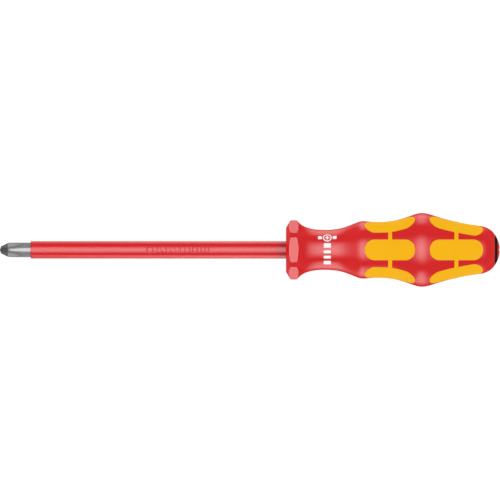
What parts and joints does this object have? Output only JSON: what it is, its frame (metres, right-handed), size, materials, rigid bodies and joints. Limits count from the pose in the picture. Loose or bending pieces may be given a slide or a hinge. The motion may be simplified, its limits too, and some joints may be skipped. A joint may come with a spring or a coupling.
{
  "type": "insulated screwdriver",
  "caption": "Cross-tip screwdriver with an insulated blade and a two-colour six-sided handle with soft grip pads, for electrical work.",
  "frame": {"origin": "the point of the blade, on the tool's axis", "axes": "+X along the tool's axis from the point towards the handle's end; +Z through the middle of one flat of the collar; the tool lies along X"},
  "size_m": [0.262, 0.0386, 0.0382],
  "materials": {
    "blade_steel": "chrome-plated rod with an even satin grind; matt black phosphate on the tip",
    "insulation_red": "smooth moulded polyamide",
    "core_black": "glass-filled, unpolished",
    "shell_red": "fine spark-eroded texture, satin gloss",
    "grip_yellow": "soft-touch elastomer, satin",
    "cap_black": "fine texture",
    "disc_red": "smooth"
  },
  "bodies": {
    "root": {"blade": "blade_steel", "blade_insulation": "insulation_red", "handle_core": "core_black", "handle_shell": "shell_red", "front_grip": "grip_yellow", "rear_grip": "grip_yellow", "end_cap": "cap_black", "marker_disc": "disc_red"}
  },
  "joints": []
}
